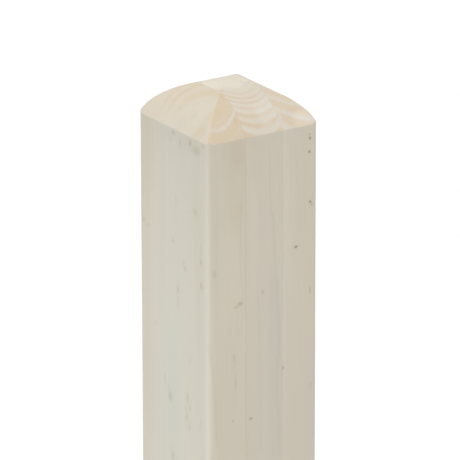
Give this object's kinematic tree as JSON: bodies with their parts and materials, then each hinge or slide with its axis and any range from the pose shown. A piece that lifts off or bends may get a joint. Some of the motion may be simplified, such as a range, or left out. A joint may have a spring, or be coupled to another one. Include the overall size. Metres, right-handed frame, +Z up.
{
  "type": "wooden post",
  "caption": "Square planed softwood post, glued up from upright boards, with rounded long corners and a head rounded over on all four sides; stands on its sawn end.",
  "frame": {"origin": "centre of the sawn bottom end", "axes": "+Z up along the post towards the rounded head; X across the boards, square to the glue planes; Y along the glue planes"},
  "size_m": [0.09, 0.09, 1],
  "materials": {
    "left_board_wood": "planed, unfinished",
    "middle_board_wood": "planed, unfinished",
    "right_board_wood": "planed, unfinished"
  },
  "bodies": {
    "root": {"lamella_left": "left_board_wood", "lamella_middle": "middle_board_wood", "lamella_right": "right_board_wood"}
  },
  "joints": []
}
